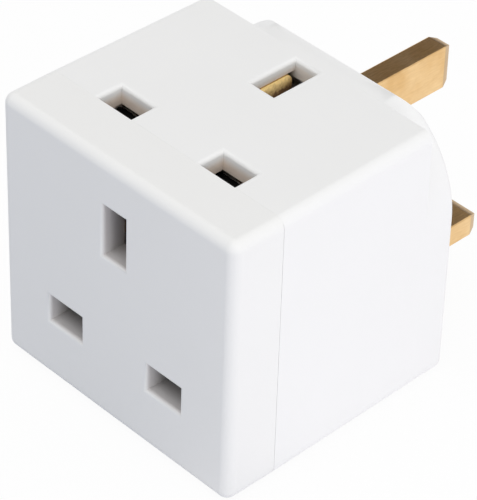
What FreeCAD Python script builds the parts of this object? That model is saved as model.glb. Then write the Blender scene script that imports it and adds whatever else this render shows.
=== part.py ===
import FreeCAD, Part
import os

# Multi socket adapter: a moulded cube with a three-slot socket in the front face and one in the top face,
# three rectangular pins at the back. Millimetres, +Z up, +Y from the front socket towards the pins.

# Outside of the moulded body
BODY_WIDTH = 50.8
BODY_HEIGHT = 48.9
BODY_DEPTH = 47.5
CROWN_LENGTH = 6.7
COVER_DEPTH = 9.8
SEAM_GAP = 0.06
EDGE_RADIUS = 1.8
CROWN_RADIUS = 18.0
REAR_TOP_RADIUS = 6.0
REAR_EDGE_RADIUS = 1.2
REAR_DRAFT = 0.6
CROWN_STEP = 0.05

# Walls of the two mouldings
SIDE_WALL = 2.2
FACE_WALL = 2.0
FRONT_WALL_EXTRA = 1.0
REAR_WALL = 3.0
LIP_THICKNESS = 1.6
LIP_LENGTH = 4.0
LIP_PLAY = 0.15
LIP_SETDOWN = 11.0

# Pins, by the standard, and the sockets that accept them
EARTH_PIN_WIDTH = 3.97
EARTH_PIN_HEIGHT = 7.95
EARTH_PIN_LENGTH = 22.73
LINE_PIN_WIDTH = 6.35
LINE_PIN_HEIGHT = 3.97
LINE_PIN_LENGTH = 18.0
LINE_SPACING = 22.23
EARTH_OFFSET = 22.23
PIN_TIP_LENGTH = 1.6
PIN_TIP_DEPTH = 0.65
PIN_EDGE = 0.25
PIN_HEAD_RIM = 0.9
SLEEVE_LENGTH = 9.5
SLEEVE_THICKNESS = 0.8

# Socket faces: how far the front pattern sits above the middle, and the slots' sizes
FRONT_PATTERN_RAISE = 0.465
TOP_LINE_SETBACK = 2.53
SLOT_PLAY = 0.42
EARTH_SLOT_END_PLAY = 0.65
SLOT_LIP = 0.7
COLLAR_DEPTH = 3.4
COLLAR_WALL = 1.5
EARTH_RIB = 0.9

# Shutters, their return springs and the plates that trap them
RUNNING_GAP = 0.3
SHUTTER_THICKNESS = 2.0
SHUTTER_WEB = 1.0
SHUTTER_RAMP = 1.2
SHUTTER_OVERLAP = 0.6
SHUTTER_SIDE_OVERLAP = 0.9
SHUTTER_TRAVEL = 5.4
TONGUE_HALF_WIDTH = 4.0
TONGUE_RAIL = 2.0
TONGUE_END = 1.5
STOP_HALF_WIDTH = 1.4
STOP_LENGTH = 1.2
SPRING_LENGTH = 8.0
SPRING_HALF_WIDTH = 1.4
SPRING_DEPTH = 1.6
SPRING_LEAF = 0.6
SPRING_FOLDS = 6
PLATE_THICKNESS = 1.0
PLATE_MARGIN = 0.5
PLATE_CORNER = 1.0
PLATE_RIM = 2.2
STAKE_HALF = 1.2
STAKE_PIP_HALF = 0.7
STAKE_PIP_HEIGHT = 0.4
STAKE_PIP_PLAY = 0.12

# Brass contact parts
CONTACT_THICKNESS = 0.7
CONTACT_GAP = 4.1
STRIP_THICKNESS = 0.8
EARTH_CLIP_WIDTH = 7.3
CLIP_FACE_GAP = 0.1
CLIP_CORNER = 1.1
CLIP_END_PLAY = 0.5
CLIP_SIDE_PLAY = 0.12
CLIP_FLARE = 0.15
CLIP_FLARE_DEPTH = 1.4
LINE_CLIP_WIDTH = 7.0
CLIP_BEND = 0.5
STRIP_WIDTH = 5.4
RIVET_RADIUS = 0.9
RIVET_HEAD_RADIUS = 1.5
RIVET_HEAD_HEIGHT = 0.6

# Screws that draw the two mouldings together
SCREW_WALL_GAP = 0.5
SCREW_RAISE = 1.3
SCREW_RADIUS = 1.5
SCREW_HOLE_PLAY = 0.2
SCREW_HEAD_RADIUS = 2.8
SCREW_HEAD_HEIGHT = 2.0
SCREW_HEAD_PLAY = 0.2
SCREW_RECESS_WIDTH = 0.8
SCREW_RECESS_DEPTH = 1.2
COUNTERBORE_DEPTH = 4.0
BOSS_RADIUS = 2.8
TUBE_RADIUS = 3.2
TUBE_HEAD_RADIUS = 4.0
TUBE_HEAD_LENGTH = 5.0

# Places that follow from the sizes
FRONT_Y = -(BODY_DEPTH + EARTH_PIN_LENGTH) / 2
REAR_Y = FRONT_Y + BODY_DEPTH
SEAM_Y = FRONT_Y + COVER_DEPTH
FRONT_SOCKET_Y = FRONT_Y + FRONT_WALL_EXTRA
FRONT_INNER_Y = FRONT_SOCKET_Y + FACE_WALL
HOUSING_Y = SEAM_Y + SEAM_GAP
SHOULDER_Y = REAR_Y - CROWN_LENGTH
REAR_INNER_Y = REAR_Y - REAR_WALL
TOP_LINE_Y = SEAM_Y + TOP_LINE_SETBACK
FRONT_LINE_Z = (BODY_HEIGHT - EARTH_OFFSET) / 2 + FRONT_PATTERN_RAISE
EARTH_Z = FRONT_LINE_Z + EARTH_OFFSET
LINE_X = LINE_SPACING / 2
HALF_WIDTH = BODY_WIDTH / 2
CAVITY_X = HALF_WIDTH - SIDE_WALL
LIP_X = CAVITY_X - LIP_PLAY
LIP_INNER_X = LIP_X - LIP_THICKNESS
LIP_Z = SIDE_WALL + LIP_PLAY
LIP_TOP = BODY_HEIGHT - LIP_SETDOWN
SCREW_X = CAVITY_X - TUBE_RADIUS - SCREW_WALL_GAP
SCREW_Z = BODY_HEIGHT / 2 + SCREW_RAISE
LIP_INNER_Z = LIP_Z + LIP_THICKNESS

# Depths below a socket face
SHUTTER_TOP = COLLAR_DEPTH + RUNNING_GAP
SHUTTER_BACK = SHUTTER_TOP + SHUTTER_THICKNESS
PLATE_FRONT = SHUTTER_BACK + RUNNING_GAP
PLATE_BACK = PLATE_FRONT + PLATE_THICKNESS
LINE_CLIP_START = PLATE_BACK + STAKE_PIP_HEIGHT
FRONT_EARTH_CLIP_START = COLLAR_DEPTH + RUNNING_GAP
TOP_EARTH_CLIP_START = FACE_WALL + CLIP_FACE_GAP
LINE_CLIP_END = LINE_PIN_LENGTH + CLIP_END_PLAY
EARTH_CLIP_END = EARTH_PIN_LENGTH + CLIP_END_PLAY

# Sizes across a socket face
SLOT_HALF_X = LINE_PIN_WIDTH / 2 + SLOT_PLAY
SLOT_HALF_V = LINE_PIN_HEIGHT / 2 + SLOT_PLAY
EARTH_SLOT_HALF_X = EARTH_PIN_WIDTH / 2 + SLOT_PLAY
EARTH_SLOT_HALF_V = EARTH_PIN_HEIGHT / 2 + EARTH_SLOT_END_PLAY
SHUTTER_HALF_V = SLOT_HALF_V + SHUTTER_OVERLAP
SHUTTER_HALF_X = LINE_X + SLOT_HALF_X + SHUTTER_SIDE_OVERLAP
STOP_V = SHUTTER_HALF_V + 2 * RUNNING_GAP
SPRING_V = STOP_V + STOP_LENGTH
WINDOW_TOP_V = SPRING_V + SPRING_LENGTH
TONGUE_TOP_V = WINDOW_TOP_V + TONGUE_END
STAKE_X = SHUTTER_HALF_X + RUNNING_GAP + STAKE_HALF
STAKE_UPPER_X = TONGUE_HALF_WIDTH + RUNNING_GAP + STAKE_HALF
STAKE_V = SLOT_HALF_V
STAKE_UPPER_V = TONGUE_TOP_V - STAKE_HALF

# Contact strips stand outside the clips
EARTH_STRIP_X = CONTACT_GAP / 2 + CONTACT_THICKNESS
LINE_CLIP_OUTER_X = LINE_X + LINE_PIN_WIDTH / 2 + CONTACT_THICKNESS + CLIP_SIDE_PLAY
LINE_STRIP_X = LINE_CLIP_OUTER_X

# The pins' heads are deep enough for a rivet head beside the back wall
PIN_HEAD_DEPTH = 2 * (RIVET_HEAD_RADIUS + RUNNING_GAP)


def box(x0, x1, y0, y1, z0, z1):
    return Part.makeBox(x1 - x0, y1 - y0, z1 - z0, FreeCAD.Vector(x0, y0, z0))


def half_width_at(y):
    # The housing's sides lean in towards the back
    return HALF_WIDTH - REAR_DRAFT * (y - HOUSING_Y) / (REAR_Y - HOUSING_Y)


def extrude_profile(points, direction):
    wire = Part.makePolygon(points + [points[0]])
    return Part.Face(wire).extrude(direction)


def edges_where(shape, test):
    return [edge for edge in shape.Edges if test(edge)]


def inside(edge, x0, x1, y0, y1, z0, z1):
    b = edge.BoundBox
    tolerance = 0.01
    within_x = b.XMin > x0 - tolerance and b.XMax < x1 + tolerance
    within_y = b.YMin > y0 - tolerance and b.YMax < y1 + tolerance
    within_z = b.ZMin > z0 - tolerance and b.ZMax < z1 + tolerance
    return within_x and within_y and within_z


# Socket parts are drawn on a level face: X across, Y from the line slots towards the earth slot,
# Z out of the face. Depths are negative Z. They are then set into the front or the top face; the front
# wall is the thicker one, and its socket lies that much deeper.

def on_front(shape):
    turned = shape.copy()
    turned.rotate(FreeCAD.Vector(0, 0, 0), FreeCAD.Vector(1, 0, 0), 90)
    turned.translate(FreeCAD.Vector(0, FRONT_SOCKET_Y, FRONT_LINE_Z))
    return turned


def on_top(shape):
    moved = shape.copy()
    moved.translate(FreeCAD.Vector(0, TOP_LINE_Y, BODY_HEIGHT))
    return moved


def slot_prism(x, v, half_x, half_v, open_to):
    # A square-cornered slot, open on its near side down to open_to
    start = min(v - half_v, open_to)
    return box(x - half_x, x + half_x, start, v + half_v, -COLLAR_DEPTH - 1, FRONT_WALL_EXTRA + 1)


def socket_slots(open_to):
    slots = []
    for side in (-1, 1):
        slots.append(slot_prism(side * LINE_X, 0, SLOT_HALF_X, SLOT_HALF_V, open_to))
    slots.append(slot_prism(0, EARTH_OFFSET, EARTH_SLOT_HALF_X, EARTH_SLOT_HALF_V, EARTH_OFFSET))
    return Part.makeCompound(slots)


def socket_collars(nearest_v):
    # Thick rims behind the two line slots
    rims = []
    reach_x = SLOT_HALF_X + COLLAR_WALL
    reach_v = SLOT_HALF_V + COLLAR_WALL
    near_v = max(-reach_v, nearest_v)
    for side in (-1, 1):
        x = side * LINE_X
        rims.append(box(x - reach_x, x + reach_x, near_v, reach_v, -COLLAR_DEPTH, -FACE_WALL))
    return rims


def earth_end_collars():
    # Ribs behind both ends of the earth slot
    reach_x = EARTH_SLOT_HALF_X + EARTH_RIB
    ribs = []
    for v in (EARTH_OFFSET - EARTH_SLOT_HALF_V - EARTH_RIB, EARTH_OFFSET + EARTH_SLOT_HALF_V):
        ribs.append(box(-reach_x, reach_x, v, v + EARTH_RIB, -COLLAR_DEPTH, -FACE_WALL))
    return ribs


def earth_side_collars():
    # Ribs behind both long sides of the front earth slot, where the clip starts deeper
    ribs = []
    for x in (-EARTH_SLOT_HALF_X - EARTH_RIB, EARTH_SLOT_HALF_X):
        ribs.append(box(
            x, x + EARTH_RIB, EARTH_OFFSET - EARTH_SLOT_HALF_V, EARTH_OFFSET + EARTH_SLOT_HALF_V,
            -COLLAR_DEPTH, -FACE_WALL
        ))
    return ribs


def socket_stakes():
    # Moulded posts that carry the shutter plate, with a pip through each of its holes
    posts = []
    for x, v in stake_places():
        posts.append(square_post(x, v, STAKE_HALF, -PLATE_FRONT, -FACE_WALL))
        posts.append(square_post(x, v, STAKE_PIP_HALF, -PLATE_BACK - STAKE_PIP_HEIGHT, -PLATE_FRONT))
    return posts


def square_post(x, v, half, z0, z1):
    return box(x - half, x + half, v - half, v + half, z0, z1)


def stake_places():
    places = []
    for side in (-1, 1):
        places.append((side * STAKE_X, STAKE_V))
        places.append((side * STAKE_UPPER_X, STAKE_UPPER_V))
    return places


def shutter_stop():
    # The fixed post inside the shutter's window: the spring pushes against it
    return box(-STOP_HALF_WIDTH, STOP_HALF_WIDTH, STOP_V, SPRING_V, -PLATE_FRONT, -FACE_WALL)


def shutter():
    web_top = -(SHUTTER_BACK - SHUTTER_WEB)
    near = -SHUTTER_HALF_V
    far = SHUTTER_HALF_V
    ramp_start = near + SHUTTER_WEB
    profile = [
        FreeCAD.Vector(0, near, -SHUTTER_BACK),
        FreeCAD.Vector(0, far, -SHUTTER_BACK),
        FreeCAD.Vector(0, far, -SHUTTER_TOP - SHUTTER_RAMP),
        FreeCAD.Vector(0, ramp_start, -SHUTTER_TOP),
        FreeCAD.Vector(0, near, -SHUTTER_TOP),
    ]
    pad_width = 2 * (SLOT_HALF_X + SHUTTER_SIDE_OVERLAP)
    pad = extrude_profile(profile, FreeCAD.Vector(pad_width, 0, 0))
    left_pad = pad.translated(FreeCAD.Vector(-SHUTTER_HALF_X, 0, 0))
    right_pad = pad.translated(FreeCAD.Vector(SHUTTER_HALF_X - pad_width, 0, 0))
    bar = box(-SHUTTER_HALF_X, SHUTTER_HALF_X, near, far, -SHUTTER_BACK, web_top)
    tongue = box(-TONGUE_HALF_WIDTH, TONGUE_HALF_WIDTH, near, TONGUE_TOP_V, -SHUTTER_BACK, web_top)
    rail = TONGUE_HALF_WIDTH - TONGUE_RAIL
    window = box(-rail, rail, STOP_V - RUNNING_GAP, WINDOW_TOP_V, -SHUTTER_BACK - 1, web_top + 1)
    solid = left_pad.fuse([right_pad, bar, tongue]).cut(window)
    return solid.removeSplitter()


def shutter_spring():
    # A leaf folded to and fro, lying in the shutter's window between the stop and the window's end
    pitch = SPRING_LENGTH / SPRING_FOLDS
    left_side = []
    right_side = []
    for fold in range(SPRING_FOLDS + 1):
        x = SPRING_HALF_WIDTH - SPRING_LEAF if fold % 2 else -SPRING_HALF_WIDTH
        v = SPRING_V + fold * pitch
        left_side.append(FreeCAD.Vector(x, v, 0))
        right_side.append(FreeCAD.Vector(x + SPRING_LEAF, v, 0))
    leaf = extrude_profile(left_side + right_side[::-1], FreeCAD.Vector(0, 0, SPRING_DEPTH))
    leaf.translate(FreeCAD.Vector(0, 0, -SHUTTER_BACK))
    return leaf


def shutter_plate():
    # A flat plate between the walls, narrower beside the shutter's tongue, with two pin apertures
    low_v = -SHUTTER_HALF_V - SHUTTER_TRAVEL - PLATE_MARGIN
    wide_x = LIP_INNER_X - RUNNING_GAP
    narrow_x = STAKE_UPPER_X + STAKE_HALF + PLATE_MARGIN
    wide = box(-wide_x, wide_x, low_v, STAKE_V + PLATE_RIM, -PLATE_BACK, -PLATE_FRONT)
    corners = edges_where(wide, lambda e: e.BoundBox.ZLength > PLATE_THICKNESS / 2)
    wide = wide.makeFillet(PLATE_CORNER, corners)
    narrow = box(-narrow_x, narrow_x, 0, TONGUE_TOP_V + PLATE_MARGIN, -PLATE_BACK, -PLATE_FRONT)
    holes = []
    for side in (-1, 1):
        x = side * LINE_X
        hole = box(x - SLOT_HALF_X, x + SLOT_HALF_X, -SLOT_HALF_V, SLOT_HALF_V, -PLATE_BACK - 1, 0)
        holes.append(hole)
    for x, v in stake_places():
        holes.append(square_post(x, v, STAKE_PIP_HALF + STAKE_PIP_PLAY, -PLATE_BACK - 1, 0))
    return wide.fuse(narrow).removeSplitter().cut(Part.makeCompound(holes))


def fold_clip(half_gap, start, end, width, flare):
    # A U folded from strip: two blades joined by a floor, with the mouth opened outwards
    inner = half_gap
    outer = half_gap + CONTACT_THICKNESS
    straight = start + CLIP_FLARE_DEPTH
    floor = end + CONTACT_THICKNESS
    points = [
        FreeCAD.Vector(inner + flare, 0, -start),
        FreeCAD.Vector(inner, 0, -straight),
        FreeCAD.Vector(inner, 0, -end),
        FreeCAD.Vector(-inner, 0, -end),
        FreeCAD.Vector(-inner, 0, -straight),
        FreeCAD.Vector(-inner - flare, 0, -start),
        FreeCAD.Vector(-outer - flare, 0, -start),
        FreeCAD.Vector(-outer, 0, -straight),
        FreeCAD.Vector(-outer, 0, -floor),
        FreeCAD.Vector(outer, 0, -floor),
        FreeCAD.Vector(outer, 0, -straight),
        FreeCAD.Vector(outer + flare, 0, -start),
    ]
    solid = extrude_profile(points, FreeCAD.Vector(0, width, 0))
    bends = edges_where(solid, lambda e: inside(e, -outer, outer, 0, width, -floor, -floor))
    bends = [e for e in bends if e.BoundBox.YLength > width / 2]
    solid = solid.makeFillet(CLIP_BEND, bends)
    corners = edges_where(solid, lambda e: e.BoundBox.ZMin > -start - 0.01 and e.BoundBox.YLength < 0.01)
    return solid.makeFillet(CLIP_CORNER, corners)


def earth_clip(start):
    clip = fold_clip(CONTACT_GAP / 2, start, EARTH_CLIP_END, EARTH_CLIP_WIDTH, CLIP_FLARE)
    clip.translate(FreeCAD.Vector(0, EARTH_OFFSET - EARTH_CLIP_WIDTH / 2, 0))
    return clip


def line_clip():
    # A C folded from strip, open towards the middle: blades above and below the pin, floor outside it
    inner = CONTACT_GAP / 2
    outer = inner + CONTACT_THICKNESS
    outside_x = LINE_CLIP_OUTER_X
    inside_x = outside_x - LINE_CLIP_WIDTH
    channel = box(inside_x, outside_x, -outer, outer, -LINE_CLIP_END, -LINE_CLIP_START)
    room = box(inside_x - 1, outside_x - CONTACT_THICKNESS, -inner, inner, -LINE_CLIP_END - 1, 0)
    clip = channel.cut(room)
    bends = edges_where(clip, lambda e: e.BoundBox.ZLength > 2 and e.BoundBox.XMin > outside_x - 0.1)
    return clip.makeFillet(CLIP_BEND, bends)


def rivet(x, y, z, grip_start):
    # A shank along +X from grip_start through the strip, headed over on the strip's outer face
    axis = FreeCAD.Vector(1, 0, 0)
    face = x + STRIP_THICKNESS
    shank = Part.makeCylinder(RIVET_RADIUS, face - grip_start, FreeCAD.Vector(grip_start, y, z), axis)
    head = Part.makeCylinder(RIVET_HEAD_RADIUS, RIVET_HEAD_HEIGHT, FreeCAD.Vector(face, y, z), axis)
    return shank.fuse(head).removeSplitter()


def line_rivet_places():
    front_y = FRONT_SOCKET_Y + LINE_CLIP_END - RIVET_HEAD_RADIUS
    top_z = BODY_HEIGHT - LINE_CLIP_END + RIVET_HEAD_RADIUS
    return [(front_y, FRONT_LINE_Z), (TOP_LINE_Y, top_z)]


def earth_rivet_places():
    front_y = FRONT_SOCKET_Y + EARTH_CLIP_END - RIVET_HEAD_RADIUS
    return [(front_y, EARTH_Z), (TOP_LINE_Y + EARTH_OFFSET, EARTH_Z)]


def pin_tail_y():
    return REAR_INNER_Y - RIVET_HEAD_RADIUS - RUNNING_GAP


def contact_rivets():
    solids = []
    for y, z in line_rivet_places():
        one = rivet(LINE_STRIP_X, y, z, LINE_STRIP_X - CONTACT_THICKNESS)
        solids.append(one)
        solids.append(mirrored(one))
    for y, z in earth_rivet_places():
        solids.append(rivet(EARTH_STRIP_X, y, z, EARTH_STRIP_X - CONTACT_THICKNESS))
    return Part.makeCompound(solids)


def mirrored(shape):
    return shape.mirror(FreeCAD.Vector(0, 0, 0), FreeCAD.Vector(1, 0, 0))


def rivet_holes():
    holes = []
    for y, z in line_rivet_places() + [(pin_tail_y(), FRONT_LINE_Z)]:
        holes.append(rivet_hole(LINE_STRIP_X, y, z))
    for y, z in earth_rivet_places() + [(pin_tail_y(), EARTH_Z)]:
        holes.append(rivet_hole(EARTH_STRIP_X, y, z))
    return Part.makeCompound(holes)


def rivet_hole(x, y, z):
    start = FreeCAD.Vector(x - CONTACT_THICKNESS, y, z)
    grip = CONTACT_THICKNESS + STRIP_THICKNESS
    return Part.makeCylinder(RIVET_RADIUS, grip, start, FreeCAD.Vector(1, 0, 0))


def line_strip():
    # One flat blank: a level leg from the pin's head to the front clip, and a riser to the top clip
    half = STRIP_WIDTH / 2
    x0 = LINE_STRIP_X
    x1 = LINE_STRIP_X + STRIP_THICKNESS
    head_y = REAR_INNER_Y
    front = FRONT_SOCKET_Y + LINE_CLIP_START + CLIP_END_PLAY
    low = FRONT_LINE_Z - half
    high = FRONT_LINE_Z + half
    riser_top = BODY_HEIGHT - LINE_CLIP_START - CLIP_END_PLAY
    leg = box(x0, x1, front, head_y, low, high)
    riser = box(x0, x1, TOP_LINE_Y - half, TOP_LINE_Y + half, low, riser_top)
    return leg.fuse(riser).removeSplitter().cut(rivet_holes())


def earth_strip():
    half = STRIP_WIDTH / 2
    x0 = EARTH_STRIP_X
    x1 = EARTH_STRIP_X + STRIP_THICKNESS
    front = FRONT_SOCKET_Y + EARTH_CLIP_END - 2 * RIVET_HEAD_RADIUS
    return box(x0, x1, front, REAR_INNER_Y, EARTH_Z - half, EARTH_Z + half).cut(rivet_holes())


def pin_bar(width, height, y0, y1):
    # A bar with eased long edges and a tip that tapers on all four sides
    half_x = width / 2
    half_z = height / 2
    taper_y = y1 - PIN_TIP_LENGTH
    bar = box(-half_x, half_x, y0, taper_y, -half_z, half_z)
    tip = Part.makeWedge(
        -half_x, taper_y, -half_z, -half_z + PIN_TIP_DEPTH, -half_x + PIN_TIP_DEPTH,
        half_x, y1, half_z, half_z - PIN_TIP_DEPTH, half_x - PIN_TIP_DEPTH
    )
    bar = bar.fuse(tip).removeSplitter()
    long_edges = edges_where(bar, lambda e: e.BoundBox.YLength > (y1 - y0) / 2)
    return bar.makeFillet(PIN_EDGE, long_edges)


def earth_pin():
    bar = pin_bar(EARTH_PIN_WIDTH, EARTH_PIN_HEIGHT, REAR_INNER_Y - PIN_HEAD_DEPTH, REAR_Y + EARTH_PIN_LENGTH)
    rim_z = EARTH_PIN_HEIGHT / 2 + PIN_HEAD_RIM
    head = box(-EARTH_STRIP_X, EARTH_STRIP_X, REAR_INNER_Y - PIN_HEAD_DEPTH, REAR_INNER_Y, -rim_z, rim_z)
    pin = bar.fuse(head)
    pin.translate(FreeCAD.Vector(0, 0, EARTH_Z))
    return pin.fuse(rivet(EARTH_STRIP_X, pin_tail_y(), EARTH_Z, 0)).removeSplitter()


def line_pin():
    tip_y = REAR_Y + LINE_PIN_LENGTH
    head_y = REAR_INNER_Y - PIN_HEAD_DEPTH
    sleeve_end = REAR_Y + SLEEVE_LENGTH
    bar = pin_bar(LINE_PIN_WIDTH, LINE_PIN_HEIGHT, head_y, tip_y)
    around = box(-LINE_PIN_WIDTH, LINE_PIN_WIDTH, REAR_INNER_Y, sleeve_end, -LINE_PIN_HEIGHT, LINE_PIN_HEIGHT)
    bar = bar.cut(around.cut(line_neck(REAR_INNER_Y - 1, sleeve_end + 1)))
    rim_z = LINE_PIN_HEIGHT / 2 + PIN_HEAD_RIM
    inner_x = -LINE_PIN_WIDTH / 2 - PIN_HEAD_RIM
    head = box(inner_x, LINE_STRIP_X - LINE_X, head_y, REAR_INNER_Y, -rim_z, rim_z)
    pin = bar.fuse(head)
    pin.translate(FreeCAD.Vector(LINE_X, 0, FRONT_LINE_Z))
    return pin.fuse(rivet(LINE_STRIP_X, pin_tail_y(), FRONT_LINE_Z, LINE_X)).removeSplitter()


def line_neck(y0, y1):
    half_x = LINE_PIN_WIDTH / 2 - SLEEVE_THICKNESS
    half_z = LINE_PIN_HEIGHT / 2 - SLEEVE_THICKNESS
    return box(-half_x, half_x, y0, y1, -half_z, half_z)


def line_sleeve():
    # Moulded round the pin's neck, flush with the bare end of the pin
    sleeve_end = REAR_Y + SLEEVE_LENGTH
    half_x = LINE_PIN_WIDTH / 2
    half_z = LINE_PIN_HEIGHT / 2
    sleeve = box(-half_x, half_x, REAR_INNER_Y, sleeve_end, -half_z, half_z)
    long_edges = edges_where(sleeve, lambda e: e.BoundBox.YLength > SLEEVE_LENGTH)
    sleeve = sleeve.makeFillet(PIN_EDGE, long_edges)
    sleeve = sleeve.cut(line_neck(REAR_INNER_Y - 1, sleeve_end + 1))
    sleeve.translate(FreeCAD.Vector(LINE_X, 0, FRONT_LINE_Z))
    return sleeve


def pin_holes():
    # Holes through the back wall, each one a close fit round its pin
    y0 = REAR_INNER_Y - 1
    y1 = REAR_Y + 1
    half_x = EARTH_PIN_WIDTH / 2
    half_z = EARTH_PIN_HEIGHT / 2
    holes = [box(-half_x, half_x, y0, y1, EARTH_Z - half_z, EARTH_Z + half_z)]
    half_x = LINE_PIN_WIDTH / 2
    half_z = LINE_PIN_HEIGHT / 2
    for side in (-1, 1):
        x = side * LINE_X
        holes.append(box(x - half_x, x + half_x, y0, y1, FRONT_LINE_Z - half_z, FRONT_LINE_Z + half_z))
    return holes


def along_y(radius, x, z, y0, y1):
    return Part.makeCylinder(radius, y1 - y0, FreeCAD.Vector(x, y0, z), FreeCAD.Vector(0, 1, 0))


def screw_places():
    return [(-SCREW_X, SCREW_Z), (SCREW_X, SCREW_Z)]


BOSS_END_Y = SEAM_Y + LIP_LENGTH
TUBE_START_Y = BOSS_END_Y + RUNNING_GAP
SCREW_SEAT_Y = REAR_Y - COUNTERBORE_DEPTH
SCREW_TIP_Y = FRONT_INNER_Y + FACE_WALL


def housing_screws():
    screws = []
    for x, z in screw_places():
        shank = along_y(SCREW_RADIUS, x, z, SCREW_TIP_Y, SCREW_SEAT_Y)
        head_end = SCREW_SEAT_Y + SCREW_HEAD_HEIGHT
        head = along_y(SCREW_HEAD_RADIUS, x, z, SCREW_SEAT_Y, head_end)
        arm = SCREW_HEAD_RADIUS - SCREW_RECESS_WIDTH
        half = SCREW_RECESS_WIDTH / 2
        recess_y = head_end - SCREW_RECESS_DEPTH
        level = box(x - arm, x + arm, recess_y, head_end + 1, z - half, z + half)
        upright = box(x - half, x + half, recess_y, head_end + 1, z - arm, z + arm)
        screws.append(shank.fuse(head).removeSplitter().cut(level.fuse(upright)))
    return Part.makeCompound(screws)


def mouths(shape, slots, y_face, z_face):
    # The edges where the slots meet their face: y_face for the front face, z_face for the top one
    found = []
    for slot in slots.Solids:
        b = slot.BoundBox
        y0 = b.YMin if y_face is None else y_face
        y1 = b.YMax if y_face is None else y_face
        z0 = b.ZMin if z_face is None else z_face
        z1 = b.ZMax if z_face is None else z_face
        found += edges_where(shape, lambda e: inside(e, b.XMin, b.XMax, y0, y1, z0, z1))
    return found


def front_cover():
    cap = box(-HALF_WIDTH, HALF_WIDTH, FRONT_Y, SEAM_Y, 0, BODY_HEIGHT)
    cap = cap.makeFillet(EDGE_RADIUS, edges_where(cap, lambda e: e.BoundBox.YMin < FRONT_Y + EDGE_RADIUS))
    room = box(
        -LIP_INNER_X, LIP_INNER_X, FRONT_INNER_Y, SEAM_Y + 1, LIP_INNER_Z, BODY_HEIGHT - FACE_WALL
    )
    lip = box(-LIP_X, LIP_X, SEAM_Y, BOSS_END_Y, LIP_Z, LIP_TOP)
    lip_room = box(-LIP_INNER_X, LIP_INNER_X, SEAM_Y, BOSS_END_Y, LIP_INNER_Z, LIP_TOP)
    solid = cap.cut(room).fuse(lip.cut(lip_room))
    # The rail behind the top edge closes the near side of the top socket's line slots
    rail_x = LINE_X + SLOT_HALF_X + COLLAR_WALL
    rail_z = BODY_HEIGHT - COLLAR_DEPTH
    rail = box(-rail_x, rail_x, SEAM_Y - COLLAR_WALL, SEAM_Y, rail_z, BODY_HEIGHT - FACE_WALL)
    collars = socket_collars(-BODY_HEIGHT) + earth_end_collars() + earth_side_collars()
    details = [on_front(s) for s in collars + socket_stakes() + [shutter_stop()]]
    for x, z in screw_places():
        details.append(along_y(BOSS_RADIUS, x, z, FRONT_INNER_Y, BOSS_END_Y))
    solid = solid.fuse(details + [rail]).removeSplitter()
    holes = [along_y(SCREW_RADIUS, x, z, SCREW_TIP_Y, BOSS_END_Y + 1) for x, z in screw_places()]
    slots = on_front(socket_slots(EARTH_OFFSET))
    solid = solid.cut(Part.makeCompound(holes + slots.Solids))
    return solid.makeFillet(SLOT_LIP, mouths(solid, slots, FRONT_Y, None))


def housing_prism(y_end):
    # Plan of the housing as far back as y_end: its sides lean in towards the back
    end = half_width_at(y_end)
    return extrude_profile([
        FreeCAD.Vector(-HALF_WIDTH, HOUSING_Y, 0),
        FreeCAD.Vector(HALF_WIDTH, HOUSING_Y, 0),
        FreeCAD.Vector(end, y_end, 0),
        FreeCAD.Vector(-end, y_end, 0),
    ], FreeCAD.Vector(0, 0, BODY_HEIGHT))


def long_edges_near(shape, z):
    return edges_where(shape, lambda e: (
        e.BoundBox.YLength > CROWN_LENGTH / 2 and abs(e.BoundBox.Center.z - z) < EDGE_RADIUS / 2))


def housing_block():
    # Square-shouldered front part, and a crowned part with big top corners that runs on to the back
    cube = housing_prism(SHOULDER_Y)
    cube = cube.makeFillet(EDGE_RADIUS, long_edges_near(cube, 0) + long_edges_near(cube, BODY_HEIGHT))
    half = half_width_at(SHOULDER_Y) - CROWN_STEP
    crown = box(-half, half, SHOULDER_Y - CROWN_LENGTH, REAR_Y, 0, BODY_HEIGHT)
    crown = crown.makeFillet(EDGE_RADIUS, long_edges_near(crown, 0))
    crown = crown.makeFillet(CROWN_RADIUS, long_edges_near(crown, BODY_HEIGHT))
    rear_rim = edges_where(crown, lambda e: inside(e, -half, half, REAR_Y, REAR_Y, 0, BODY_HEIGHT))
    crown = crown.makeFillet(REAR_EDGE_RADIUS, rear_rim)
    side = box(-BODY_WIDTH, BODY_WIDTH, HOUSING_Y, REAR_Y, 0, BODY_HEIGHT)
    top_edge = edges_where(side, lambda e: inside(
        e, -BODY_WIDTH, BODY_WIDTH, REAR_Y, REAR_Y, BODY_HEIGHT, BODY_HEIGHT))
    crown = crown.common(side.makeFillet(REAR_TOP_RADIUS, top_edge))
    return cube.fuse(crown).removeSplitter()


def housing_room():
    # The hollow: straight behind the mouth, crowned like the outside further back
    top = BODY_HEIGHT - FACE_WALL
    front = box(-CAVITY_X, CAVITY_X, HOUSING_Y - 1, SHOULDER_Y - SIDE_WALL, SIDE_WALL, top)
    inner_x = half_width_at(SHOULDER_Y) - CROWN_STEP - SIDE_WALL
    back = box(-inner_x, inner_x, SHOULDER_Y - SIDE_WALL - 1, REAR_INNER_Y, SIDE_WALL, top)
    back = back.makeFillet(CROWN_RADIUS - SIDE_WALL, long_edges_near(back, top))
    trim = box(-BODY_WIDTH, BODY_WIDTH, HOUSING_Y, REAR_INNER_Y, 0, top)
    upper = edges_where(trim, lambda e: inside(
        e, -BODY_WIDTH, BODY_WIDTH, REAR_INNER_Y, REAR_INNER_Y, top, top))
    back = back.common(trim.makeFillet(REAR_TOP_RADIUS - SIDE_WALL, upper))
    return front.fuse(back)


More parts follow.
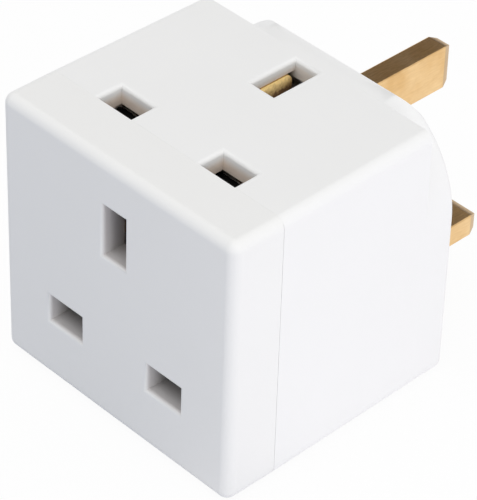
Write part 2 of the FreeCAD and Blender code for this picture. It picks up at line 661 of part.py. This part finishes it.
def rear_housing():
    solid = housing_block().cut(housing_room())
    near_v = HOUSING_Y - TOP_LINE_Y
    collars = socket_collars(near_v) + earth_end_collars()
    details = [on_top(s) for s in collars + socket_stakes() + [shutter_stop()]]
    for x, z in screw_places():
        details.append(along_y(TUBE_RADIUS, x, z, TUBE_START_Y, REAR_INNER_Y))
        details.append(along_y(TUBE_HEAD_RADIUS, x, z, REAR_INNER_Y - TUBE_HEAD_LENGTH, REAR_INNER_Y))
    solid = solid.fuse(details).removeSplitter()
    slots = on_top(socket_slots(near_v - 1))
    cuts = pin_holes() + slots.Solids
    for x, z in screw_places():
        cuts.append(along_y(SCREW_RADIUS + SCREW_HOLE_PLAY, x, z, TUBE_START_Y - 1, SCREW_SEAT_Y))
        cuts.append(along_y(SCREW_HEAD_RADIUS + SCREW_HEAD_PLAY, x, z, SCREW_SEAT_Y, REAR_Y + 1))
    solid = solid.cut(Part.makeCompound(cuts))
    return solid.makeFillet(SLOT_LIP, mouths(solid, slots, None, BODY_HEIGHT))


def save(name, shape):
    shape.exportStep("parts/" + name + ".step")
    print(name, len(shape.Solids), shape.isValid(), round(shape.Volume, 2))


def build():
    os.makedirs("parts", exist_ok=True)
    save("front_cover", front_cover())
    save("rear_housing", rear_housing())
    save("earth_pin", earth_pin())
    save("line_pin", line_pin())
    save("neutral_pin", mirrored(line_pin()))
    save("line_sleeve", line_sleeve())
    save("neutral_sleeve", mirrored(line_sleeve()))
    save("earth_strip", earth_strip())
    save("line_strip", line_strip())
    save("neutral_strip", mirrored(line_strip()))
    save("front_earth_clip", on_front(earth_clip(FRONT_EARTH_CLIP_START)).cut(rivet_holes()))
    save("top_earth_clip", on_top(earth_clip(TOP_EARTH_CLIP_START)).cut(rivet_holes()))
    save("front_line_clip", on_front(line_clip()).cut(rivet_holes()))
    save("top_line_clip", on_top(line_clip()).cut(rivet_holes()))
    save("front_neutral_clip", mirrored(on_front(line_clip()).cut(rivet_holes())))
    save("top_neutral_clip", mirrored(on_top(line_clip()).cut(rivet_holes())))
    save("contact_rivets", contact_rivets())
    save("front_shutter", on_front(shutter()))
    save("top_shutter", on_top(shutter()))
    save("front_shutter_spring", on_front(shutter_spring()))
    save("top_shutter_spring", on_top(shutter_spring()))
    save("front_shutter_plate", on_front(shutter_plate()))
    save("top_shutter_plate", on_top(shutter_plate()))
    save("housing_screws", housing_screws())


build()
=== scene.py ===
import math

import bpy
from mathutils import Matrix, Vector


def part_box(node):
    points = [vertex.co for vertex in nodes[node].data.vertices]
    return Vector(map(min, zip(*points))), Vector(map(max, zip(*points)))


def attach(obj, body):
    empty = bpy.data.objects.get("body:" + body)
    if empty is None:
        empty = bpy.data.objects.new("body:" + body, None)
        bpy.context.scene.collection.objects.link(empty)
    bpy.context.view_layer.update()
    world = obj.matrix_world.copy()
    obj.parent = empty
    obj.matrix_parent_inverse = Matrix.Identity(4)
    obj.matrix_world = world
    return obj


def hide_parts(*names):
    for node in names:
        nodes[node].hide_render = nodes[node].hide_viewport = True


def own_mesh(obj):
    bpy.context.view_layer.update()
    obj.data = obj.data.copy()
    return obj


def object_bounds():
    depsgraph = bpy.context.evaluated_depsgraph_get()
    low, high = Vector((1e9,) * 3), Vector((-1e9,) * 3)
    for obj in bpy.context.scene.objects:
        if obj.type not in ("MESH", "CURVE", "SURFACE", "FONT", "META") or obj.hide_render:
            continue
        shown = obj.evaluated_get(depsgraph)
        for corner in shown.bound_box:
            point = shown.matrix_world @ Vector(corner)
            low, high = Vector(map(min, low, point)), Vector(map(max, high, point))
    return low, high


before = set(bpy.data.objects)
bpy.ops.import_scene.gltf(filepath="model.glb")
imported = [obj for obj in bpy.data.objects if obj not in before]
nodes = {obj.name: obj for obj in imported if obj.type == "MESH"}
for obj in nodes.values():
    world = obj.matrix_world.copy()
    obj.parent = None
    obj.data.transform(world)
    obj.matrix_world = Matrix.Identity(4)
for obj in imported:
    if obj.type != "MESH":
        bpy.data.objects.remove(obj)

cad_low, cad_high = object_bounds()

# Camera: above the adapter's front right corner, with a long lens, so that the front socket, the top
# socket and the plain right side all show, and the brass pins look out from behind.
front_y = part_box("front_cover")[0][1]
camera_place = (0.26, front_y - 0.23127, 0.30735)
yaw = math.radians(45.31)
pitch = math.radians(38.13)
roll = math.radians(1.87)
camera_back = Vector((
    math.sin(yaw) * math.cos(pitch),
    -math.cos(yaw) * math.cos(pitch),
    math.sin(pitch),
))
level_right = Vector((math.cos(yaw), math.sin(yaw), 0))
level_up = camera_back.cross(level_right)
camera_right = math.cos(roll) * level_right + math.sin(roll) * level_up
camera_up = math.cos(roll) * level_up - math.sin(roll) * level_right
camera_data = bpy.data.cameras.new("product_camera")
camera_data.sensor_fit = "AUTO"
camera_data.sensor_width = 36
camera_data.lens = 216
camera_data.clip_start = 0.01
camera_data.clip_end = 20
camera = bpy.data.objects.new("product_camera", camera_data)
bpy.context.scene.collection.objects.link(camera)
turn = Matrix((camera_right, camera_up, camera_back)).transposed()
camera.matrix_world = Matrix.Translation(camera_place) @ turn.to_4x4()
bpy.context.scene.camera = camera

# Studio sweep: white paper under the adapter, just below its flat base. It shows as plain white, keeps a
# faint shadow, and throws less light back on the front left than on the right side.
bpy.context.scene.view_settings.view_transform = "Standard"
sweep_size = 3
sweep_z = -0.0001
bpy.ops.object.select_all(action="DESELECT")
bpy.ops.mesh.primitive_plane_add(size=sweep_size, location=(0, 0, sweep_z))
sweep = bpy.context.object
sweep.name = "studio_sweep"
bpy.ops.object.transform_apply(location=True)


def new_finish(name, empty=False):
    material = bpy.data.materials.new(name)
    material.use_nodes = True
    if empty:
        material.node_tree.nodes.clear()
    return material, material.node_tree


def feed(tree, source, socket):
    if isinstance(source, bpy.types.NodeSocket):
        tree.links.new(source, socket)
    else:
        socket.default_value = source


def reckon(tree, operation, *terms):
    step = tree.nodes.new("ShaderNodeMath")
    step.operation = operation
    for term, socket in zip(terms, step.inputs):
        feed(tree, term, socket)
    return step.outputs[0]


def grade(tree, value, start, end, first=0, last=1):
    step = tree.nodes.new("ShaderNodeMapRange")
    step.inputs["From Min"].default_value = start
    step.inputs["From Max"].default_value = end
    step.inputs["To Min"].default_value = first
    step.inputs["To Max"].default_value = last
    feed(tree, value, step.inputs["Value"])
    return step.outputs["Result"]


def mix_colours(tree, share, first, second):
    step = tree.nodes.new("ShaderNodeMix")
    step.data_type = "RGBA"
    for source, place in ((share, 0), (first, 6), (second, 7)):
        feed(tree, source, step.inputs[place])
    return step.outputs[2]


def mix_shaders(tree, share, first, second):
    step = tree.nodes.new("ShaderNodeMixShader")
    for place, source in enumerate((share, first, second)):
        feed(tree, source, step.inputs[place])
    return step.outputs[0]


def glow(tree, kind, colour, strength):
    step = tree.nodes.new(kind)
    step.inputs["Color"].default_value = colour
    step.inputs["Strength"].default_value = strength
    return step.outputs[0]


def along_axes(tree, vector):
    step = tree.nodes.new("ShaderNodeSeparateXYZ")
    feed(tree, vector, step.inputs[0])
    return step.outputs


plain_white = (1, 1, 1, 1)
paper_seen_white = 0.93
paper_shadow_white = (0.9, 0.9, 0.9, 1)
paper_dim = (0.33, 0.37, 0.47, 1)
paper_bright = (0.92, 0.91, 0.97, 1)
paper_dim_to = -0.035
paper_bright_from = 0.012
sweep_paper, paper = new_finish("sweep_paper", empty=True)
paper_ray = paper.nodes.new("ShaderNodeLightPath").outputs
paper_place = paper.nodes.new("ShaderNodeTexCoord").outputs["Object"]
paper_spot = along_axes(paper, paper_place)
seen = reckon(paper, "MAXIMUM", paper_ray["Is Camera Ray"], paper_ray["Is Glossy Ray"])
seen = reckon(paper, "MAXIMUM", seen, paper_ray["Is Transmission Ray"])
seen = reckon(paper, "MULTIPLY", seen, paper_seen_white)
across = reckon(paper, "ADD", paper_spot["X"], paper_spot["Y"])
bounce = grade(paper, across, paper_dim_to, paper_bright_from)
bounce = mix_colours(paper, bounce, paper_dim, paper_bright)
bounce = mix_colours(paper, paper_ray["Is Camera Ray"], bounce, paper_shadow_white)
paper_matte = paper.nodes.new("ShaderNodeBsdfDiffuse")
feed(paper, bounce, paper_matte.inputs["Color"])
paper_white = glow(paper, "ShaderNodeEmission", plain_white, 1.0)
paper_look = mix_shaders(paper, seen, paper_matte.outputs[0], paper_white)
feed(paper, paper_look, paper.nodes.new("ShaderNodeOutputMaterial").inputs["Surface"])
sweep.data.materials.append(sweep_paper)

# Studio light: an even white room, a soft box on the right and a larger one above the front. The right
# side is lit most and the front least. The boxes leave no spots on the plastic.
room_level = 0.84
studio_air = bpy.data.worlds.new("studio_air")
studio_air.use_nodes = True
air = studio_air.node_tree
air.nodes.clear()
air_ray = air.nodes.new("ShaderNodeLightPath").outputs
air_room = glow(air, "ShaderNodeBackground", plain_white, room_level)
air_white = glow(air, "ShaderNodeBackground", plain_white, 1.0)
air_look = mix_shaders(air, air_ray["Is Camera Ray"], air_room, air_white)
feed(air, air_look, air.nodes.new("ShaderNodeOutputWorld").inputs["Surface"])
bpy.context.scene.world = studio_air
lamp_aim = Vector((0, 0, 0.025))


def soft_box(name, place, size, power):
    lamp = bpy.data.lights.new(name, "AREA")
    lamp.shape = "SQUARE"
    lamp.size = size
    lamp.energy = power
    stand = bpy.data.objects.new(name, lamp)
    stand.location = place
    stand.rotation_mode = "QUATERNION"
    stand.rotation_quaternion = (lamp_aim - Vector(place)).to_track_quat("-Z", "Y")
    stand.visible_glossy = False
    bpy.context.scene.collection.objects.link(stand)


soft_box("box_right", place=(0.92, -0.28, 0.2), size=0.36, power=2.03)
soft_box("box_front_top", place=(0.0, -0.28, 0.96), size=0.6, power=1.38)

# A black card far behind on the left, seen only in reflections: level metal reflects it and turns dark
# brown, as on the pins, while upright metal reflects the white sweep.
card_place = Vector((-0.45, 0.45, 0.52))
card_aim = Vector((0, 0, 0.03))
card_size = 0.54
card_colour = (1.0, 0.76, 0.68, 1)
card_level = 0.072
bpy.ops.object.select_all(action="DESELECT")
bpy.ops.mesh.primitive_plane_add(size=card_size, location=card_place)
card = bpy.context.object
card.name = "black_card"
card.rotation_mode = "QUATERNION"
card.rotation_quaternion = (card_aim - card_place).to_track_quat("Z", "Y")
bpy.ops.object.transform_apply(location=True, rotation=True)
card.visible_camera = False
card.visible_diffuse = False
card.visible_transmission = False
card.visible_shadow = False
card_black, card_tree = new_finish("card_black", empty=True)
card_dark = glow(card_tree, "ShaderNodeEmission", card_colour, card_level)
feed(card_tree, card_dark, card_tree.nodes.new("ShaderNodeOutputMaterial").inputs["Surface"])
card.data.materials.append(card_black)

# Two white mouldings, the front cover and the rear housing: hard glossy thermoset plastic with a very
# fine skin texture. They are moulded, and drawn together by screws from the back.
white_low = (0.845, 0.845, 0.84, 1)
white_high = (0.865, 0.865, 0.862, 1)
cover_low = (0.836, 0.835, 0.826, 1)
cover_high = (0.856, 0.855, 0.847, 1)
# Painted shade inside the slots: the white turns warm taupe deeper in the top slots, and grey, then near
# black, in the front slots.
top_slot_painted_shade_tint = (0.86, 0.755, 0.66, 1)
front_slot_painted_shade_tint = (0.62, 0.6, 0.595, 1)
front_slot_deep_painted_shade_tint = (0.27, 0.25, 0.24, 1)
slot_painted_shade_starts = 0.001
slot_painted_shade_full = 0.0022
lip_painted_shade_starts = 0.00005
lip_painted_shade_full = 0.0004
deep_painted_shade_starts = 0.0014
deep_painted_shade_full = 0.0052
front_slot_depth = 0.0055
slots_from_sides = 0.0045
housing_length = 0.0407


def grain(tree, place, scale, detail):
    step = tree.nodes.new("ShaderNodeTexNoise")
    step.inputs["Scale"].default_value = scale
    step.inputs["Detail"].default_value = detail
    feed(tree, place, step.inputs["Vector"])
    return step.outputs["Fac"]


def two_tone(tree, share, first, second, starts=0.0, ends=1.0):
    step = tree.nodes.new("ShaderNodeValToRGB")
    first_stop, second_stop = step.color_ramp.elements
    first_stop.position = starts
    first_stop.color = first
    second_stop.position = ends
    second_stop.color = second
    feed(tree, share, step.inputs["Fac"])
    return step.outputs["Color"]


def relief(tree, height, strength, distance):
    step = tree.nodes.new("ShaderNodeBump")
    step.inputs["Strength"].default_value = strength
    step.inputs["Distance"].default_value = distance
    feed(tree, height, step.inputs["Height"])
    return step.outputs["Normal"]


def least(tree, first, *others):
    for other in others:
        first = reckon(tree, "MINIMUM", first, other)
    return first


white_plastic, white = new_finish("white_plastic")
white_place = white.nodes.new("ShaderNodeTexCoord").outputs["Object"]
white_spot = along_axes(white, white_place)
white_cloud = grain(white, white_place, scale=60, detail=2)
white_skin = grain(white, white_place, scale=2600, detail=3)
white_tone = two_tone(white, white_cloud, white_low, white_high)
# How far a point lies under each outer face: painted shade darkens the skin with depth inside the slots.
from_side = reckon(white, "SUBTRACT", cad_high[0], reckon(white, "ABSOLUTE", white_spot["X"]))
from_front = reckon(white, "SUBTRACT", white_spot["Y"], front_y)
from_rear = reckon(white, "SUBTRACT", front_y + housing_length, white_spot["Y"])
from_top = reckon(white, "SUBTRACT", cad_high[2], white_spot["Z"])
from_base = reckon(white, "SUBTRACT", white_spot["Z"], cad_low[2])
inside = least(white, from_side, from_front, from_rear, from_top, from_base)
near_front = reckon(white, "LESS_THAN", from_front, front_slot_depth)
from_edge = least(white, from_side, from_base, from_top)
amid_front = reckon(white, "GREATER_THAN", from_edge, slots_from_sides)
# Painted shade on the lips of the front slots, from just behind the front face.
lip_painted_shade = grade(white, from_front, lip_painted_shade_starts, lip_painted_shade_full)
lip_painted_shade = reckon(white, "MULTIPLY", amid_front, lip_painted_shade)
lip_painted_shade = reckon(white, "MULTIPLY", lip_painted_shade, near_front)
slot_painted_shade_share = grade(white, inside, slot_painted_shade_starts, slot_painted_shade_full)
slot_painted_shade_share = reckon(white, "MAXIMUM", slot_painted_shade_share, lip_painted_shade)
slot_painted_shade_tint = mix_colours(white, near_front, top_slot_painted_shade_tint, front_slot_painted_shade_tint)
white_colour = mix_colours(white, slot_painted_shade_share, white_tone, slot_painted_shade_tint)
# Deeper painted shade in the front slots, darkening towards near black.
deep_painted_shade_share = reckon(white, "MULTIPLY", near_front, grade(white, inside, deep_painted_shade_starts, deep_painted_shade_full))
white_colour = mix_colours(white, deep_painted_shade_share, white_colour, front_slot_deep_painted_shade_tint)
white_shader = white.nodes["Principled BSDF"]
feed(white, white_colour, white_shader.inputs["Base Color"])
white_gloss = grade(white, white_skin, 0, 1, first=0.34, last=0.42)
feed(white, white_gloss, white_shader.inputs["Roughness"])
white_dimples = relief(white, white_skin, strength=0.05, distance=0.0001)
feed(white, white_dimples, white_shader.inputs["Normal"])
same_place = 0.000001


def smooth_moulding(node_name, piece_name, body, material, crease):
    piece = bpy.data.objects.new(piece_name, nodes[node_name].data.copy())
    bpy.context.scene.collection.objects.link(piece)
    bpy.ops.object.select_all(action="DESELECT")
    bpy.context.view_layer.objects.active = piece
    piece.select_set(True)
    bpy.ops.mesh.customdata_custom_splitnormals_clear()
    bpy.ops.object.mode_set(mode="EDIT")
    bpy.ops.mesh.select_all(action="SELECT")
    bpy.ops.mesh.remove_doubles(threshold=same_place)
    bpy.ops.object.mode_set(mode="OBJECT")
    bpy.ops.object.shade_smooth_by_angle(angle=math.radians(crease))
    weighting = piece.modifiers.new("flat_faces_stay_flat", "WEIGHTED_NORMAL")
    weighting.mode = "FACE_AREA"
    weighting.weight = 100
    weighting.keep_sharp = True
    bpy.ops.object.modifier_apply(modifier=weighting.name)
    piece.data.materials.clear()
    piece.data.materials.append(material)
    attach(piece, body)
    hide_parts(node_name)
    return piece


cover_plastic = white_plastic.copy()
cover_plastic.name = "cover_plastic"
cover_tone = cover_plastic.node_tree.nodes["Color Ramp"].color_ramp
cover_tone.elements[0].color = cover_low
cover_tone.elements[1].color = cover_high
cover = smooth_moulding("front_cover", "front_cover_moulding", "root", cover_plastic, crease=40)
# On the top face the cover meets the housing, with no gap to be seen.
seam_close = 0.00005
hair = 0.00001
top_skin_z = cad_high[2] - 0.0004
top_edge_z = cad_high[2] - 0.0009
seam_y = max(v.co.y for v in cover.data.vertices if v.co.z > top_skin_z)
bpy.ops.object.mode_set(mode="EDIT")
bpy.ops.mesh.select_mode(type="VERT")
bpy.ops.mesh.select_all(action="DESELECT")
bpy.ops.object.mode_set(mode="OBJECT")
for corner in cover.data.vertices:
    corner.select = corner.co.z > top_edge_z and corner.co.y > seam_y - hair
bpy.ops.object.mode_set(mode="EDIT")
bpy.ops.transform.translate(value=(0, seam_close, 0))
bpy.ops.object.mode_set(mode="OBJECT")
housing = smooth_moulding("rear_housing", "rear_housing_moulding", "root", white_plastic, crease=40)
# The crown at the rear has rounder shoulders than the solid: the arc's radius grows from 18 to 19 mm.
crown_radius = 0.018
crown_growth = 0.001
crown_depth = 0.00675
crown_flat = 0.006
rim_depth = 0.00125
rim_radius = 0.0167
arc_least = 0.0179
arc_most = 0.01803
rear_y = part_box("rear_housing")[1][1]
crown_side = max(abs(v.co.x) for v in housing.data.vertices if v.co.y > rear_y - crown_flat)
arc_x = crown_side - crown_radius
arc_z = cad_high[2] - crown_radius
for corner in housing.data.vertices:
    out = abs(corner.co.x) - arc_x
    up = corner.co.z - arc_z
    if corner.co.y < rear_y - crown_depth or out < -hair or up < -hair:
        continue
    reach = math.hypot(out, up)
    on_rim = corner.co.y > rear_y - rim_depth and reach > rim_radius
    if reach < arc_most and (reach > arc_least or on_rim):
        side = math.copysign(1, corner.co.x)
        corner.co.x = side * (arc_x - crown_growth + out * (reach + crown_growth) / reach)
        corner.co.z = arc_z - crown_growth + up * (reach + crown_growth) / reach

# Brass pins and contacts: solid drawn pins, folded strips, spring clips and rivets. The brass is warm
# yellow, with fine drawn lines along the metal, browner patches, a painted dark reflection on level
# faces and greyer ends on the pins.
brass_low = (0.84, 0.535, 0.23, 1)
brass_high = (0.97, 0.68, 0.35, 1)
brass_scratch_and_reflection_brown = (0.38, 0.19, 0.06, 1)
brass_cut_grey = (0.44, 0.35, 0.26, 1)
cut_starts = cad_high[1] - 0.0017
cut_full = cad_high[1] - 0.0013
cut_share = 0.55
earth_pin_side = 0.006
short_pin_gap = cad_high[1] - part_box("line_pin")[1][1]
brass, brass_tree = new_finish("brass")
brass_where = brass_tree.nodes.new("ShaderNodeTexCoord").outputs
brass_stretch = brass_tree.nodes.new("ShaderNodeMapping")
brass_stretch.inputs["Scale"].default_value = (1, 0.16, 1)
feed(brass_tree, brass_where["Object"], brass_stretch.inputs["Vector"])
brass_lines = grain(brass_tree, brass_stretch.outputs["Vector"], scale=3200, detail=4)
brass_patch = grain(brass_tree, brass_where["Object"], scale=220, detail=3)
brass_colour = two_tone(brass_tree, brass_patch, brass_low, brass_high, starts=0.3, ends=0.7)
# Brown scratch lines, with a painted dark reflection: level faces get more of the brown.
level_face = reckon(brass_tree, "ABSOLUTE", along_axes(brass_tree, brass_where["Normal"])["Z"])
scratch_and_dark_reflection = grade(brass_tree, level_face, 0, 1, first=0.1, last=0.32)
scratch_line = grade(brass_tree, brass_lines, start=0.35, end=0.65)
scratch_and_dark_reflection = reckon(brass_tree, "MULTIPLY", scratch_and_dark_reflection, scratch_line)
brass_colour = mix_colours(brass_tree, scratch_and_dark_reflection, brass_colour, brass_scratch_and_reflection_brown)
# The two lower pins are shorter, so their ends are moved to the earth pin's end before the grading,
# which turns all three pins greyer towards their ends.
brass_spot = along_axes(brass_tree, brass_where["Object"])
short_pin = reckon(brass_tree, "ABSOLUTE", brass_spot["X"])
short_pin = reckon(brass_tree, "GREATER_THAN", short_pin, earth_pin_side)
pin_end = reckon(brass_tree, "MULTIPLY_ADD", short_pin, short_pin_gap, brass_spot["Y"])
pin_end = grade(brass_tree, pin_end, cut_starts, cut_full, last=cut_share)
brass_colour = mix_colours(brass_tree, pin_end, brass_colour, brass_cut_grey)
brass_shader = brass_tree.nodes["Principled BSDF"]
brass_shader.inputs["Metallic"].default_value = 1.0
feed(brass_tree, brass_colour, brass_shader.inputs["Base Color"])
brass_gloss = grade(brass_tree, brass_lines, 0, 1, first=0.24, last=0.4)
feed(brass_tree, brass_gloss, brass_shader.inputs["Roughness"])
brass_grooves = relief(brass_tree, brass_lines, strength=0.15, distance=0.0001)
feed(brass_tree, brass_grooves, brass_shader.inputs["Normal"])


def finish_node(name, material):
    nodes[name].data.materials.clear()
    nodes[name].data.materials.append(material)


brass_pins = ("earth_pin", "line_pin", "neutral_pin")
brass_strips = ("earth_strip", "line_strip", "neutral_strip", "contact_rivets")
front_clips = ("front_earth_clip", "front_line_clip", "front_neutral_clip")
top_clips = ("top_line_clip", "top_neutral_clip")
for name in brass_pins + brass_strips + front_clips + top_clips:
    finish_node(name, brass)
for name in brass_pins:
    smooth_moulding(name, name + "_drawn", "root", brass, crease=30)

# The earth clip behind the top slot: rolled brass strip, bright at its mouth, with painted shade that
# turns it dark brown further down, and fine speckle. It is riveted to the earth strip.
mouth_brass = (1.0, 0.72, 0.3, 1)
deep_painted_shade_brass = (0.13, 0.07, 0.03, 1)
mouth_z = cad_high[2] - 0.0021
painted_shade_full_z = cad_high[2] - 0.0046
roll_low_z = cad_high[2] - 0.0065
roll_high_z = cad_high[2] - 0.0015
roll_height = 0.005
strip_painted_shade_share = 0.8
speck_share = 0.6
strip_brass, strip = new_finish("strip_brass")
strip_place = strip.nodes.new("ShaderNodeTexCoord").outputs["Object"]
strip_spot = along_axes(strip, strip_place)
strip_speck = grain(strip, strip_place, scale=1800, detail=3)
# Painted shade: the strip darkens to brown from 2.1 to 4.6 mm below the top, with speckle added on top.
strip_painted_shade_and_speck = grade(strip, strip_spot["Z"], mouth_z, painted_shade_full_z, last=strip_painted_shade_share)
strip_painted_shade_and_speck = reckon(strip, "MULTIPLY_ADD", strip_speck, speck_share, strip_painted_shade_and_speck)
strip_roll = grade(strip, strip_spot["Z"], roll_low_z, roll_high_z, first=1, last=0)
strip_shader = strip.nodes["Principled BSDF"]
strip_shader.inputs["Metallic"].default_value = 0.75
strip_shader.inputs["Roughness"].default_value = 0.28
strip_colour = two_tone(strip, strip_painted_shade_and_speck, mouth_brass, deep_painted_shade_brass, starts=0.3)
feed(strip, strip_colour, strip_shader.inputs["Base Color"])
strip_mouth = relief(strip, strip_roll, strength=1.0, distance=roll_height)
feed(strip, strip_mouth, strip_shader.inputs["Normal"])
finish_node("top_earth_clip", strip_brass)

# Black sleeves on the two shorter pins, and black shutters behind the line and neutral slots: matte
# moulded nylon. Each shutter slides in its guide, under its face. The sleeves are moulded on the pins.
nylon_low = (0.012, 0.012, 0.012, 1)
nylon_high = (0.022, 0.021, 0.02, 1)
shutter_low = (0.005, 0.005, 0.005, 1)
shutter_high = (0.011, 0.0105, 0.01, 1)
black_nylon, black = new_finish("black_nylon")
black_place = black.nodes.new("ShaderNodeTexCoord").outputs["Object"]
black_grain = grain(black, black_place, scale=1500, detail=2)
black_colour = two_tone(black, black_grain, nylon_low, nylon_high)
black_shader = black.nodes["Principled BSDF"]
black_shader.inputs["Specular IOR Level"].default_value = 0.25
feed(black, black_colour, black_shader.inputs["Base Color"])
black_gloss = grade(black, black_grain, 0, 1, first=0.6, last=0.75)
feed(black, black_gloss, black_shader.inputs["Roughness"])
for name in ("line_sleeve", "neutral_sleeve"):
    finish_node(name, black_nylon)
    smooth_moulding(name, name + "_moulding", "root", black_nylon, crease=30)
shutter_nylon = black_nylon.copy()
shutter_nylon.name = "shutter_nylon"
shutter_shader = shutter_nylon.node_tree.nodes["Principled BSDF"]
shutter_shader.inputs["Specular IOR Level"].default_value = 0.08
shutter_tone = shutter_nylon.node_tree.nodes["Color Ramp"].color_ramp
shutter_tone.elements[0].color = shutter_low
shutter_tone.elements[1].color = shutter_high
for name in ("front_shutter", "top_shutter"):
    finish_node(name, shutter_nylon)
    smooth_moulding(name, name + "_moulding", name + "_body", shutter_nylon, crease=30)

# Shutter plates: thin white plates inside, moulded from the body's plastic. Each is staked behind its
# face and traps the shutter there.
plate_plastic = white_plastic.copy()
plate_plastic.name = "plate_plastic"
for name in ("front_shutter_plate", "top_shutter_plate"):
    finish_node(name, plate_plastic)

# Screws and return springs: zinc-plated steel. The screws are turned and hold the cover from the back.
# Each spring is a folded leaf between a fixed stop and its shutter.
zinc_low = (0.42, 0.42, 0.41, 1)
zinc_high = (0.62, 0.62, 0.6, 1)
zinc_steel, zinc = new_finish("zinc_steel")
zinc_place = zinc.nodes.new("ShaderNodeTexCoord").outputs["Object"]
zinc_grain = grain(zinc, zinc_place, scale=900, detail=2)
zinc_colour = two_tone(zinc, zinc_grain, zinc_low, zinc_high)
zinc_shader = zinc.nodes["Principled BSDF"]
zinc_shader.inputs["Metallic"].default_value = 1.0
feed(zinc, zinc_colour, zinc_shader.inputs["Base Color"])
zinc_gloss = grade(zinc, zinc_grain, 0, 1, first=0.25, last=0.4)
feed(zinc, zinc_gloss, zinc_shader.inputs["Roughness"])
for name in ("housing_screws", "front_shutter_spring", "top_shutter_spring"):
    finish_node(name, zinc_steel)
front_leaf = smooth_moulding("front_shutter_spring", "front_shutter_leaf", "root", zinc_steel, crease=30)
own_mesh(front_leaf)
top_leaf = smooth_moulding("top_shutter_spring", "top_shutter_leaf", "root", zinc_steel, crease=30)
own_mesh(top_leaf)
